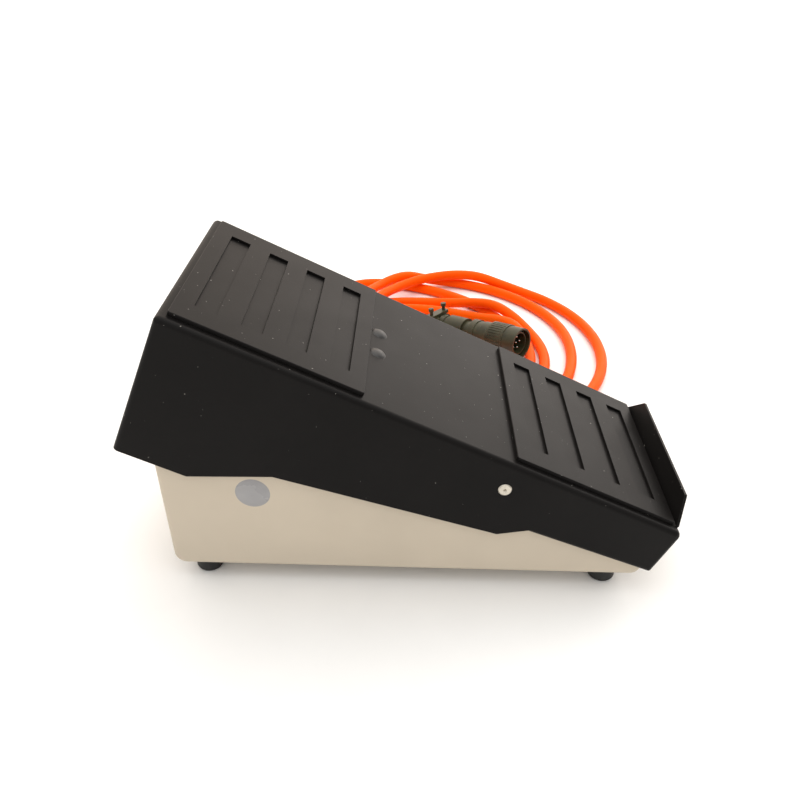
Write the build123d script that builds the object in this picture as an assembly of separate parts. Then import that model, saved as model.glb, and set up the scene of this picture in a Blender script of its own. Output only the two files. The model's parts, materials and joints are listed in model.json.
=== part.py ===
from build123d import *
import math
import os

# Foot control pedal for a welding power source. Millimetres, +Z up, +X from the toe end to
# the heel end, +Y to the side that the cable leaves from. The origin is under the middle of
# the pedal, on the surface that its rubber feet stand on. The treadle is built in its own
# axes (u from toe to heel along the plate, v across, w out of the plate) around the pivot.

# ---- driving dimensions ----
SHEET = 1.6  # steel of the treadle
TRAY_SHEET = 1.5  # steel of the base tray
REST_TILT = 25.1  # the plate's slope at rest, degrees
PRESS_ANGLE = 20.0  # the treadle's full travel, degrees
PIVOT_Z = 74.7
PLATE_W = 15.6  # the plate's outer face above the pivot axis
TREADLE_WIDTH = 130.0
TOE_U = -191.3
HEEL_U = 102.0
STOP_U = 98.4  # the heel stop's inner face
SKIRT_DEPTH = 82.5
STOP_HEIGHT = 13.5  # heel stop above the plate
STOP_BASE_HALF = 59.5
STOP_TOP_HALF = 46.5
BEND = 3.0  # outside radius of the sheet bends

PAD_LENGTH = 98.6
PAD_WIDTH = 119.4
PAD_THICK = 2.3
TOE_PAD_U = -186.8
HEEL_PAD_U = -2.1
RIB_PITCH = 23.0
SLOT_WIDTH = 11.2
SLOT_LENGTH = 90.2
SLOT_DEPTH = 1.6
SLOT_MARGIN = 9.2

TRAY_WIDTH = 122.0
TRAY_TOE_X = -183.8  # from the pivot
TRAY_HEEL_X = 83.0
TRAY_BACK_Z = 95.0  # the walls' top at the toe
TRAY_FRONT_Z = 46.0  # and at the heel
FOOT_HEIGHT = 11.2
FOOT_R = 7.8
FOOT_ROUND = 2.3
TRAY_TOE_ROUND = 7.0
TRAY_HEEL_ROUND = 6.0
TRAY_BEND = 2.6
PIN_R = 3.6
BUSH_R = 6.0
CLIP_THICK = 0.9
PLUG_X = -133.4
PLUG_Z = 65.1
PLUG_HOLE_R = 8.0
GLAND_X = 10.0
GLAND_Z = 28.0
GLAND_HOLE_R = 8.0

CABLE_D = 9.0
LEAD_ROUTE = [
    (GLAND_X, 98.0, GLAND_Z),
    (GLAND_X, 124.0, GLAND_Z),
    (2.0, 153.0, 23.0),
    (-20.0, 175.0, 15.5),
    (-48.0, 185.0, 8.5),
    (-80.0, 190.0, 5.0),
    (-109.0, 206.0, 4.6),
    (-128.0, 233.0, 4.7),
]
TAIL_ROUTE = [
    (-129.0, 202.0, 13.8),
    (-127.0, 242.0, 14.4),
    (-97.0, 275.0, 9.0),
]
TAIL_STRAIGHT = 36.0  # the last run, into the back of the connector
COIL_CENTRE = (-19.0, 228.0)
COIL_OUTER = (143.0, 141.0)
COIL_INNER_CENTRE = (-27.0, 218.0)
COIL_INNER = (88.0, 84.0)
COIL_HEIGHT = 18.0

CONNECTOR_MOUTH = (41.5, 189.0, 24.8)
CONNECTOR_TURN = -42.0  # the axis points to +X and this far towards the pedal
CONNECTOR_DIP = -8.5  # the mouth end is propped up on the coil
# Along the connector's own axis z runs out of the mouth, so its pieces lie at negative z.
NUT_R = 13.5
NUT_BACK = -31.0
SHELL_BACK = -50.0
BACKSHELL_BACK = -80.0
CLAMP_BACK = -97.0
CLAMP_HALF = 11.2  # from the axis to a saddle's outer face
CLAMP_BOLT_X = 8.2
CLAMP_BOLT_R = 1.5
CONTACT_R = 0.8

MODULE = 1.25
PINION_TEETH = 12
SECTOR_TEETH = 144  # as a full circle
PRESSURE_ANGLE = 20.0
TOOTH_PLAY = 0.16
MESH_ANGLE = 4.0  # the pinion's place above the toe direction, seen from the pivot
SECTOR_HALF = 3.0
CAM_R = 76.0
CAM_RISE = 2.0  # over the full travel

SCREW_U = -82.6  # the two bolts through the plate
SCREW_V = 11.3
SCREW_R = 2.5
SCREW_LENGTH = 12.5
HEAD_R = 4.7
HEAD_RISE = 1.7
BRACKET_SHEET = 1.6
RIVETS = ((-82.0, 5.6), (-82.0, -1.6))
RIVET_R = 2.0
M4_R = 2.0
STEM_R = 2.0  # of the rubber stops
BUMPER_R = 6.0
BUMPER_SIDE_Y = 34.0
FOOT_SIDE_Y = 49.0

SPRINGS = ((-40.0, -38.0), (-40.0, 38.0))
SPRING_TOP = 98.0
SPRING_R = 9.0
SPRING_WIRE = 1.1
SPRING_TURNS = 9

SHAFT_R = 3.0  # of the potentiometer
BUSHING_R = 4.75
POT_R = 12.0
POT_DEPTH = 12.0
POT_PLATE_Y = (-12.0, -10.4)
PINION_TOP_Y = 2.6
SWITCH_DISTANCE = 60.0  # from the pivot
SWITCH_HALF_Y = 5.0
SWITCH_HALF_LONG = 13.0
SWITCH_SCREWS = (-9.5, 9.5)
SWITCH_SCREW_R = 1.5
PLUNGER_R = 1.6
STRIP_X = 22.0
STRIP_Y = (24.0, 36.0)
STRIP_PITCH = 5.4
STRIP_WAYS = 5
STRIP_SCREW_R = 1.6
LEAD_R = 0.9
JACKET_END_Y = 50.0
RELIEF_END_Y = LEAD_ROUTE[0][1]

COS = math.cos(math.radians(REST_TILT))
SIN = math.sin(math.radians(REST_TILT))


def from_pivot(u, w):
    """World x (counted from the pivot) and z of a point in the treadle's axes."""
    return u * COS + w * SIN, PIVOT_Z - u * SIN + w * COS


def toe_polar(radius, angle):
    """A point about the pivot, the angle counted up from the toe direction."""
    return -radius * math.cos(math.radians(angle)), radius * math.sin(math.radians(angle))


# ---- places worked out from the dimensions ----
TOE_REACH = from_pivot(TOE_U, PLATE_W - SKIRT_DEPTH)[0]
HEEL_REACH = from_pivot(STOP_U + SHEET, PLATE_W + STOP_HEIGHT)[0]
PIVOT_X = -(TOE_REACH + HEEL_REACH) / 2  # puts the origin under the middle
UNDER_W = PLATE_W - SHEET  # the plate's underside
HALF_WIDTH = TREADLE_WIDTH / 2
TRAY_HALF = TRAY_WIDTH / 2
FLOOR_Z = FOOT_HEIGHT + TRAY_SHEET  # the tray's inner floor
PIVOT_PLACE = Pos(PIVOT_X, 0, 0)
TREADLE_PLACE = Plane(
    origin=(PIVOT_X, 0, PIVOT_Z), x_dir=(COS, 0, -SIN), z_dir=(SIN, 0, COS)
).location
WEB_V = (SECTOR_HALF, SECTOR_HALF + BRACKET_SHEET)

TOE_LIP_X = TRAY_TOE_X + 16.0
HEEL_LIP_X = TRAY_HEEL_X - 16.0
TOE_BUMPERS = [(TRAY_TOE_X + 8.5, way * BUMPER_SIDE_Y) for way in (-1, 1)]
HEEL_BUMPERS = [(TRAY_HEEL_X - 8.5, way * BUMPER_SIDE_Y) for way in (-1, 1)]
FEET_X = (TRAY_TOE_X + 16.5, TRAY_HEEL_X - 18.4)
FEET = [(x, way * FOOT_SIDE_Y) for x in FEET_X for way in (-1, 1)]
CLIP_Y = TRAY_HALF - TRAY_SHEET - 5.2
SPRING_LOW = FLOOR_Z + 2.0

POT_X, POT_RISE = toe_polar(MODULE * (SECTOR_TEETH + PINION_TEETH) / 2, MESH_ANGLE)
POT_Z = PIVOT_Z + POT_RISE
POT_FEET = [(POT_X + shift, -22.0) for shift in (-8.0, 8.0)]
PINION_PLACE = Pos(PIVOT_X + POT_X, 0, POT_Z) * Rot(0, MESH_ANGLE, 0)
SWITCH_X, SWITCH_RISE = toe_polar(SWITCH_DISTANCE, MESH_ANGLE)
SWITCH_FEET = [(SWITCH_X + shift, 14.0) for shift in (-8.0, 8.0)]
SWITCH_PLACE = Pos(PIVOT_X, 0, PIVOT_Z) * Rot(0, MESH_ANGLE, 0)
STRIP_MIDDLE_Y = sum(STRIP_Y) / 2
STRIP_SCREWS = [(STRIP_X + shift, STRIP_MIDDLE_Y) for shift in (-18.0, 18.0)]
WIRE_Z = FLOOR_Z + 4.6  # where the wires enter the strip
STRIP_WIRE_X = [STRIP_X + (index - 2) * STRIP_PITCH for index in range(STRIP_WAYS)]

GLAND_THREAD_END_Y = TRAY_HALF + 12.5
CONNECTOR_PLACE = (
    Pos(PIVOT_X + CONNECTOR_MOUTH[0], CONNECTOR_MOUTH[1], CONNECTOR_MOUTH[2])
    * Rot(0, 0, CONNECTOR_TURN)
    * Rot(0, 90 + CONNECTOR_DIP, 0)
)
CLAMP_PLACE = CONNECTOR_PLACE * Rot(0, 0, 90)  # its screws stand up


# ---- helpers ----
def block(x, y, z):
    """A box from three (low, high) pairs."""
    middle = [(a + b) / 2 for a, b in (x, y, z)]
    return Pos(*middle) * Box(*[b - a for a, b in (x, y, z)])


def rod(start, way, radius, length):
    """A round bar from a point along a direction."""
    place = Plane(origin=start, z_dir=way).location
    return place * Cylinder(radius, length, align=(Align.CENTER, Align.CENTER, Align.MIN))


def cone(start, way, radius, end_radius, length):
    place = Plane(origin=start, z_dir=way).location
    return place * Cone(radius, end_radius, length, align=(Align.CENTER, Align.CENTER, Align.MIN))


def hexagon(start, way, across_flats, height):
    """A nut's blank."""
    place = Plane(origin=start, z_dir=way).location
    return place * extrude(RegularPolygon(across_flats / 2, 6, major_radius=False), height)


def dome(start, way, radius, height):
    """A low round head: the cap of a ball."""
    ball_r = (radius * radius + height * height) / (2 * height)
    place = Plane(origin=start, z_dir=way).location
    cap = Pos(0, 0, height - ball_r) * Sphere(ball_r)
    return place * (cap & Cylinder(radius, height, align=(Align.CENTER, Align.CENTER, Align.MIN)))


def rounded(points, corners):
    """A flat outline in x and z with some of its corners rounded: index to radius."""
    face = Polygon(*points, align=None)
    for index, radius in corners.items():
        spot = Vector(*points[index])
        corner = min(face.vertices(), key=lambda v: (Vector(v.X, v.Y) - spot).length)
        face = fillet([corner], radius)
    return face


def side_slab(face, low_y, high_y):
    """A side outline made solid between two widths."""
    return Pos(0, low_y, 0) * extrude(Plane.XZ * face, high_y - low_y, dir=(0, 1, 0))


def both_sides(shape):
    return [shape, mirror(shape, Plane.XZ)]


def edges_where(shape, test):
    return [edge for edge in shape.edges() if test(edge.center())]


# ---- treadle ----
def make_treadle():
    side = [
        (TOE_U, PLATE_W),
        (HEEL_U, PLATE_W),
        (HEEL_U + 1.4, PLATE_W - 31.4),
        (23.4, PLATE_W - 36.1),
        (11.8, PLATE_W - 44.5),
        (-111.6, PLATE_W - 62.5),
        (-152.1, PLATE_W - SKIRT_DEPTH),
        (TOE_U, PLATE_W - SKIRT_DEPTH),
    ]
    body = side_slab(rounded(side, {1: 4.0, 2: 1.0}), -HALF_WIDTH, HALF_WIDTH)

    def bent(middle):
        on_top = abs(middle.Z - PLATE_W) < 0.01 and abs(abs(middle.Y) - HALF_WIDTH) < 0.01
        toe_top = abs(middle.X - TOE_U) < 0.01 and abs(middle.Z - PLATE_W) < 0.01
        toe_corner = abs(middle.X - TOE_U) < 0.01 and abs(abs(middle.Y) - HALF_WIDTH) < 0.01
        return on_top or toe_top or toe_corner

    body = fillet(edges_where(body, bent), BEND)
    hollow_half = HALF_WIDTH - SHEET
    body -= block(
        (TOE_U + SHEET, HEEL_U + 50), (-hollow_half, hollow_half), (-2 * SKIRT_DEPTH, UNDER_W)
    )
    behind_stop = (STOP_U + SHEET, HEEL_U + 5)
    body -= block(behind_stop, (-STOP_BASE_HALF, STOP_BASE_HALF), (UNDER_W - 1, PLATE_W + 1))
    body += make_heel_stop()
    body -= rod((0, -HALF_WIDTH - 1, 0), (0, 1, 0), PIN_R, TREADLE_WIDTH + 2)
    for screw_v in (-SCREW_V, SCREW_V):
        body -= rod((SCREW_U, screw_v, 0), (0, 0, 1), SCREW_R, PLATE_W + 5)
    return body


def make_heel_stop():
    """The plate's heel end, bent up, with its ends cut on a slant."""
    top = PLATE_W + STOP_HEIGHT
    side = [
        (STOP_U - 12, UNDER_W),
        (STOP_U + SHEET, UNDER_W),
        (STOP_U + SHEET, top),
        (STOP_U, top),
        (STOP_U, PLATE_W),
        (STOP_U - 12, PLATE_W),
    ]
    strip = side_slab(rounded(side, {1: 3.0, 4: 1.4}), -STOP_BASE_HALF, STOP_BASE_HALF)
    front = Polygon(
        (-STOP_BASE_HALF, UNDER_W),
        (STOP_BASE_HALF, UNDER_W),
        (STOP_BASE_HALF, PLATE_W + 0.8),
        (STOP_TOP_HALF, top),
        (-STOP_TOP_HALF, top),
        (-STOP_BASE_HALF, PLATE_W + 0.8),
        align=None,
    )
    return strip & (Pos(STOP_U - 20, 0, 0) * extrude(Plane.YZ * front, 40, dir=(1, 0, 0)))


def make_pad(start_u):
    """A moulded tread pad with four sunk slots."""
    half = PAD_WIDTH / 2
    pad = block((start_u, start_u + PAD_LENGTH), (-half, half), (PLATE_W, PLATE_W + PAD_THICK))
    pad = fillet(pad.edges().filter_by(Axis.Z), 1.2)
    pad = fillet(pad.faces().sort_by(Axis.Z)[-1].edges(), 0.5)
    for index in range(4):
        low = start_u + SLOT_MARGIN + index * RIB_PITCH
        pad -= block(
            (low, low + SLOT_WIDTH),
            (-SLOT_LENGTH / 2, SLOT_LENGTH / 2),
            (PLATE_W + PAD_THICK - SLOT_DEPTH, PLATE_W + PAD_THICK + 1),
        )
    return pad


def make_sector_bracket():
    """A T of sheet steel: its flange lies under the plate and its web holds the sector."""
    flange = block((-92.0, -74.0), (-18.0, 18.0), (UNDER_W - BRACKET_SHEET, UNDER_W))
    for screw_v in (-SCREW_V, SCREW_V):
        flange -= rod((SCREW_U, screw_v, 0), (0, 0, 1), SCREW_R, PLATE_W + 5)
    web = block((-89.0, -75.0), WEB_V, (-5.5, UNDER_W - BRACKET_SHEET))
    bracket = flange + web
    for u, w in RIVETS:
        bracket -= rod((u, -10, w), (0, 1, 0), RIVET_R, 20)
    return bracket


def make_treadle_bolt(v):
    head = dome((SCREW_U, v, PLATE_W), (0, 0, 1), HEAD_R, HEAD_RISE)
    shank = rod((SCREW_U, v, PLATE_W), (0, 0, -1), SCREW_R, SCREW_LENGTH)
    return head + shank


def make_treadle_nut(v):
    low = UNDER_W - BRACKET_SHEET - 4.0
    nut = hexagon((SCREW_U, v, low), (0, 0, 1), 8.0, 4.0)
    return nut - rod((SCREW_U, v, low - 1), (0, 0, 1), SCREW_R, 6.0)


# ---- gears ----
def tooth_outline(teeth, tip_r, root_r):
    """One involute tooth along +X, with play taken off both flanks."""
    pitch_r = MODULE * teeth / 2
    base_r = pitch_r * math.cos(math.radians(PRESSURE_ANGLE))

    def involute(radius):
        slope = math.acos(min(1.0, base_r / radius))
        return math.tan(slope) - slope

    half_pitch = math.pi / (2 * teeth) - TOOTH_PLAY / 2 / pitch_r
    start_r = max(base_r, root_r)
    flank = []
    steps = 4
    for step in range(steps + 1):
        radius = start_r + (tip_r - start_r) * step / steps
        half = half_pitch + involute(pitch_r) - involute(radius)
        flank.append((radius, half))
    flank.insert(0, (root_r - 0.4, flank[0][1]))
    upper = [(r * math.cos(a), r * math.sin(a)) for r, a in reversed(flank)]
    lower = [(x, -y) for x, y in reversed(upper)]
    return lower + upper


def make_pinion():
    """Spur pinion with a gap that faces the pivot."""
    pitch_r = MODULE * PINION_TEETH / 2
    root_r = pitch_r - 1.25 * MODULE
    tooth = Polygon(*tooth_outline(PINION_TEETH, pitch_r + MODULE, root_r), align=None)
    gear = side_slab(Circle(root_r), -SECTOR_HALF, PINION_TOP_Y)
    for index in range(PINION_TEETH):
        turned_tooth = Rot(0, 0, (index + 0.5) * 360 / PINION_TEETH) * tooth
        gear += side_slab(turned_tooth, -SECTOR_HALF, PINION_TOP_Y)
    gear += rod((0, -SECTOR_HALF - 3.0, 0), (0, 1, 0), 5.0, 3.0)
    gear -= rod((0, -20, 0), (0, 1, 0), SHAFT_R, 40)
    return PINION_PLACE * gear


def make_sector():
    """Toothed sector whose inner edge is the switch cam: its radius falls evenly with angle."""
    pitch_r = MODULE * SECTOR_TEETH / 2
    root_r = pitch_r - 1.25 * MODULE
    tooth_step = 360 / SECTOR_TEETH
    centre_angle = MESH_ANGLE - REST_TILT
    low, high = centre_angle - 6.0, centre_angle + 28.0
    inner = []
    for index in range(12):
        angle = low + (high - low) * index / 11
        inner.append(toe_polar(CAM_R - CAM_RISE * (angle - centre_angle) / PRESS_ANGLE, angle))
    outer_arc = ThreePointArc(
        toe_polar(root_r, high), toe_polar(root_r, (low + high) / 2), toe_polar(root_r, low)
    )
    cam_edge = Spline(*inner)
    ends = [Line(cam_edge @ 1, outer_arc @ 0), Line(outer_arc @ 1, cam_edge @ 0)]
    outline = make_face(Curve() + [cam_edge, outer_arc, *ends])
    sector = side_slab(outline, -SECTOR_HALF, SECTOR_HALF)
    tooth = Polygon(*tooth_outline(SECTOR_TEETH, pitch_r + 0.9 * MODULE, root_r), align=None)
    for index in range(-2, 11):
        turned_tooth = Rot(0, 0, 180 - centre_angle - index * tooth_step) * tooth
        sector += side_slab(turned_tooth, -SECTOR_HALF, SECTOR_HALF)
    for u, w in RIVETS:
        sector -= rod((u, -10, w), (0, 1, 0), RIVET_R, 20)
    return sector


def make_rivet(u, w):
    low = -SECTOR_HALF
    shank = rod((u, low, w), (0, 1, 0), RIVET_R, 2 * SECTOR_HALF + BRACKET_SHEET)
    head = dome((u, low, w), (0, -1, 0), 3.4, 1.4)
    tail = dome((u, SECTOR_HALF + BRACKET_SHEET, w), (0, 1, 0), 3.2, 1.3)
    return shank + head + tail


# ---- base ----
def tray_outline(inset):
    """The tray's side view; with an inset it is the hollow, open upward."""
    lift = 60.0 if inset else 0.0
    return [
        (TRAY_TOE_X + inset, TRAY_BACK_Z + lift),
        (TRAY_TOE_X + inset, FOOT_HEIGHT + inset),
        (TRAY_HEEL_X - inset, FOOT_HEIGHT + inset),
        (TRAY_HEEL_X - inset, TRAY_FRONT_Z + lift),
        (8.0, PIVOT_Z + 9.3 + lift),
        (-80.0, TRAY_BACK_Z + lift),
    ]


def make_tray():
    outer = rounded(tray_outline(0.0), {1: TRAY_TOE_ROUND, 2: TRAY_HEEL_ROUND})
    tray = side_slab(outer, -TRAY_HALF, TRAY_HALF)

    def lower_edge(middle):
        at_side = abs(abs(middle.Y) - TRAY_HALF) < 0.01
        return at_side and (middle.Z < FOOT_HEIGHT + 9 or middle.X < TRAY_TOE_X + 0.01)

    tray = fillet(edges_where(tray, lower_edge), TRAY_BEND)
    inner_rounds = {1: TRAY_TOE_ROUND - TRAY_SHEET, 2: TRAY_HEEL_ROUND - TRAY_SHEET}
    hollow = rounded(tray_outline(TRAY_SHEET), inner_rounds)
    hollow_half = TRAY_HALF - TRAY_SHEET
    tray -= side_slab(hollow, -hollow_half, hollow_half)
    for lip_x, top in (
        ((TRAY_TOE_X, TOE_LIP_X), TRAY_BACK_Z),
        ((HEEL_LIP_X, TRAY_HEEL_X), TRAY_FRONT_Z),
    ):
        tray += block(lip_x, (-hollow_half, hollow_half), (top - TRAY_SHEET, top))
    tray -= rod((0, -TRAY_HALF - 1, PIVOT_Z), (0, 1, 0), BUSH_R, TRAY_WIDTH + 2)
    tray -= rod((PLUG_X, -TRAY_HALF - 1, PLUG_Z), (0, 1, 0), PLUG_HOLE_R, 10)
    tray -= rod((GLAND_X, TRAY_HALF + 1, GLAND_Z), (0, -1, 0), GLAND_HOLE_R, 10)
    for x, y, radius in floor_holes():
        tray -= rod((x, y, 0), (0, 0, 1), radius, 30)
    for x, y in TOE_BUMPERS + HEEL_BUMPERS:
        tray -= rod((x, y, 40), (0, 0, 1), STEM_R, 60)
    return PIVOT_PLACE * tray


def floor_holes():
    feet = [(x, y, M4_R) for x, y in FEET]
    brackets = [(x, y, M4_R) for x, y in POT_FEET + SWITCH_FEET]
    springs = [(x, y, M4_R) for x, y in SPRINGS]
    strip = [(x, y, STRIP_SCREW_R) for x, y in STRIP_SCREWS]
    return feet + brackets + springs + strip


def make_foot(x, y):
    """A round rubber foot with a sunk seat for its screw."""
    body = rod((x, y, 0), (0, 0, 1), FOOT_R, FOOT_HEIGHT)
    body = fillet(body.faces().sort_by(Axis.Z)[0].edges(), FOOT_ROUND)
    body -= rod((x, y, -1), (0, 0, 1), 4.0, 5.0)
    body -= rod((x, y, 0), (0, 0, 1), M4_R, 20)
    return PIVOT_PLACE * body


def make_foot_screw(x, y):
    head = rod((x, y, 1.6), (0, 0, 1), 3.6, 2.4)
    shank = rod((x, y, 2.4), (0, 0, 1), M4_R, FLOOR_Z + 4.6 - 2.4)
    slot = block((x - 4, x + 4), (y - 0.5, y + 0.5), (1.0, 2.4))
    return PIVOT_PLACE * (head + shank - slot)


def make_floor_nut(x, y, low=FLOOR_Z):
    nut = hexagon((x, y, low), (0, 0, 1), 7.0, 3.2)
    return PIVOT_PLACE * (nut - rod((x, y, low - 1), (0, 0, 1), M4_R, 6))


def make_bracket_screw(x, y):
    head = dome((x, y, FOOT_HEIGHT), (0, 0, -1), 3.8, 2.2)
    shank = rod((x, y, FOOT_HEIGHT), (0, 0, 1), M4_R, 8.0)
    return PIVOT_PLACE * (head + shank)


def make_bumper(x, y, low, beyond):
    """A rubber stop pushed into a lip; its top is cut just short of the plate at its limit."""
    body = rod((x, y, low), (0, 0, 1), BUMPER_R, 14.0)
    body += rod((x, y, low - TRAY_SHEET - 2.0), (0, 0, 1), STEM_R, 4.0)
    body += rod((x, y, low - TRAY_SHEET - 2.0), (0, 0, 1), 3.0, 2.0)
    return PIVOT_PLACE * body - beyond


def plate_above(angle):
    """All that is over the plate's underside, less a hair, with the treadle pressed that far."""
    slab = TREADLE_PLACE * block((-300, 300), (-100, 100), (UNDER_W - 0.35, 300))
    about_pivot = Pos(PIVOT_X, 0, PIVOT_Z) * Rot(0, -angle, 0) * Pos(-PIVOT_X, 0, -PIVOT_Z)
    return about_pivot * slab


def make_bushing():
    """Flanged nylon bushing in the near wall; its flange keeps the skirt off the wall."""
    wall = -TRAY_HALF
    sleeve = rod((0, wall, PIVOT_Z), (0, 1, 0), BUSH_R, TRAY_SHEET + 4.0)
    flange = rod((0, wall - 2.0, PIVOT_Z), (0, 1, 0), 9.0, 2.0)
    bore = rod((0, wall - 5, PIVOT_Z), (0, 1, 0), PIN_R + 0.06, 20)
    return PIVOT_PLACE * (sleeve + flange - bore)


def make_pivot_shaft():
    """The pivot rod: its ends show in the skirts, each with a drilled centre."""
    reach = HALF_WIDTH + 0.6
    shaft = rod((0, -reach, PIVOT_Z), (0, 1, 0), PIN_R, 2 * reach)
    shaft = chamfer(shaft.edges().filter_by(GeomType.CIRCLE), 0.5)
    for way in (-1, 1):
        shaft -= cone((0, way * (reach + 0.01), PIVOT_Z), (0, -way, 0), 0.9, 0.1, 1.2)
        shaft -= ring_groove(way * CLIP_Y)
    return PIVOT_PLACE * shaft


def ring_groove(y):
    groove = rod((0, y - CLIP_THICK / 2, PIVOT_Z), (0, 1, 0), PIN_R + 1, CLIP_THICK)
    return groove - rod((0, y - 2, PIVOT_Z), (0, 1, 0), PIN_R - 0.8, 4)


def make_clip(y):
    """An E-clip: a ring with a mouth, seated in the shaft's groove."""
    low = y - CLIP_THICK / 2
    ring = rod((0, low, PIVOT_Z), (0, 1, 0), 7.0, CLIP_THICK)
    ring -= rod((0, low - 1, PIVOT_Z), (0, 1, 0), PIN_R - 0.8, 4)
    ring -= block((-2.4, 2.4), (low - 1, low + 3), (PIVOT_Z, PIVOT_Z + 10))
    return PIVOT_PLACE * ring


def make_hole_plug():
    """A thin nylon cap with a split skirt that snaps into its hole."""
    cap = dome((PLUG_X, -TRAY_HALF, PLUG_Z), (0, -1, 0), 9.4, 1.5)
    skirt = rod((PLUG_X, -TRAY_HALF, PLUG_Z), (0, 1, 0), PLUG_HOLE_R, 6.0)
    skirt -= rod((PLUG_X, -TRAY_HALF, PLUG_Z), (0, 1, 0), PLUG_HOLE_R - 1.2, 10.0)
    low = -TRAY_HALF + TRAY_SHEET + 0.5
    for turn in (0, 90):
        gap = block((-1.2, 1.2), (low, low + 10), (-12, 12))
        skirt -= Pos(PLUG_X, 0, PLUG_Z) * Rot(0, turn, 0) * gap
    return PIVOT_PLACE * (cap + skirt)


# ---- springs ----
def make_spring(x, y):
    """A compression spring; its ends are squared by the seats."""
    height = SPRING_TOP - SPRING_LOW - 2 * SPRING_WIRE
    path = Helix(height / SPRING_TURNS, height, SPRING_R)
    section = Plane(origin=path @ 0, z_dir=path % 0) * Circle(SPRING_WIRE)
    wire = sweep(section, path=path, is_frenet=True)
    return PIVOT_PLACE * Pos(x, y, SPRING_LOW + SPRING_WIRE) * wire


def make_lower_seat(x, y):
    seat = rod((x, y, FLOOR_Z), (0, 0, 1), 12.0, SPRING_LOW - FLOOR_Z)
    seat += rod((x, y, SPRING_LOW), (0, 0, 1), 7.0, 6.0)
    seat += rod((x, y, FOOT_HEIGHT), (0, 0, 1), M4_R, TRAY_SHEET)
    seat += rod((x, y, FOOT_HEIGHT), (0, 0, -1), 3.4, 1.0)
    return PIVOT_PLACE * seat


def make_upper_seat(x, y):
    """A cup that is welded under the plate and stands upright at rest."""
    seat = rod((x, y, SPRING_TOP), (0, 0, 1), 12.0, 40.0)
    seat += rod((x, y, SPRING_TOP), (0, 0, -1), 7.0, 6.0)
    return PIVOT_PLACE * seat - TREADLE_PLACE * block((-300, 300), (-100, 100), (UNDER_W, 300))


# ---- potentiometer ----
def make_pot_bracket():
    """An L of sheet steel that carries the potentiometer."""
    low, high = POT_PLATE_Y
    across = (POT_X - POT_R, POT_X + POT_R)
    wall = block(across, (low, high), (FLOOR_Z, POT_Z + 8.0))
    foot = block(across, (-30.0, high), (FLOOR_Z, FLOOR_Z + BRACKET_SHEET))
    middle_y = (low + high) / 2
    top_corners = edges_where(wall, lambda c: c.Z > POT_Z and abs(c.Y - middle_y) < 0.1)
    bracket = fillet(top_corners, 5.0) + foot
    bracket -= rod((POT_X, -20, POT_Z), (0, 1, 0), BUSHING_R, 20)
    for x, y in POT_FEET:
        bracket -= rod((x, y, 0), (0, 0, 1), M4_R, 30)
    return PIVOT_PLACE * bracket


def make_pot_body():
    """Potentiometer case with its threaded bushing, bored for the shaft."""
    face = POT_PLATE_Y[0]
    case = rod((POT_X, face, POT_Z), (0, -1, 0), POT_R, POT_DEPTH)
    case = fillet(case.faces().sort_by(Axis.Y)[0].edges(), 1.0)
    case += rod((POT_X, face, POT_Z), (0, 1, 0), BUSHING_R, 5.6)
    case -= rod((POT_X, face - 8.0, POT_Z), (0, 1, 0), SHAFT_R + 0.05, 30)
    return PIVOT_PLACE * case


def make_pot_lugs():
    """Three solder lugs that stand down from the case, on a phenolic strip."""
    low = POT_PLATE_Y[0] - POT_DEPTH
    y = (low + 3.0, low + 4.2)
    strip = block((POT_X - 9, POT_X + 9), y, (POT_Z - 17, POT_Z - 11.0))
    strip -= rod((POT_X, low - 1, POT_Z), (0, 1, 0), POT_R, 20)
    for shift in (-6, 0, 6):
        strip += block((POT_X + shift - 1.2, POT_X + shift + 1.2), y, (POT_Z - 22, POT_Z - 16))
    return PIVOT_PLACE * strip


def make_pot_nut():
    high = POT_PLATE_Y[1]
    nut = hexagon((POT_X, high, POT_Z), (0, 1, 0), 13.0, 2.4)
    return PIVOT_PLACE * (nut - rod((POT_X, high - 1, POT_Z), (0, 1, 0), BUSHING_R, 6))


def make_pot_shaft():
    start = POT_PLATE_Y[0] - 7.6
    return PIVOT_PLACE * rod((POT_X, start, POT_Z), (0, 1, 0), SHAFT_R, PINION_TOP_Y - start)


# ---- switch ----
def make_switch_body():
    """Snap-action switch case; local -X looks at the cam."""
    case = block(
        (-SWITCH_DISTANCE - 8.0, -SWITCH_DISTANCE + 8.0),
        (-SWITCH_HALF_Y, SWITCH_HALF_Y),
        (-SWITCH_HALF_LONG, SWITCH_HALF_LONG),
    )
    case = fillet(case.edges().filter_by(Axis.Y), 1.0)
    case -= rod((-69.0, 0, 0), (1, 0, 0), PLUNGER_R + 0.05, 8.0)
    for z in SWITCH_SCREWS:
        case -= rod((-SWITCH_DISTANCE, -10, z), (0, 1, 0), SWITCH_SCREW_R, 20)
    for z in (-9.0, 0.0, 9.0):
        case += block((-52.0, -47.0), (-1.6, 1.6), (z - 0.4, z + 0.4))
    return SWITCH_PLACE * case


def make_plunger():
    """Round-nosed button that rides on the sector's cam edge."""
    tip = CAM_R - 0.25
    pin = rod((-(tip - PLUNGER_R), 0, 0), (1, 0, 0), PLUNGER_R, tip - PLUNGER_R - 65.0)
    pin += Pos(-(tip - PLUNGER_R), 0, 0) * Sphere(PLUNGER_R)
    return SWITCH_PLACE * pin


def make_switch_screw(z):
    start = (-SWITCH_DISTANCE, -SWITCH_HALF_Y, z)
    head = rod(start, (0, -1, 0), 2.7, 2.0)
    shank = rod(start, (0, 1, 0), SWITCH_SCREW_R, 2 * SWITCH_HALF_Y + 4.6)
    slot = block(
        (-SWITCH_DISTANCE - 3, -SWITCH_DISTANCE + 3),
        (-SWITCH_HALF_Y - 3, -SWITCH_HALF_Y - 1.2),
        (z - 0.4, z + 0.4),
    )
    return SWITCH_PLACE * (head + shank - slot)


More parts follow.
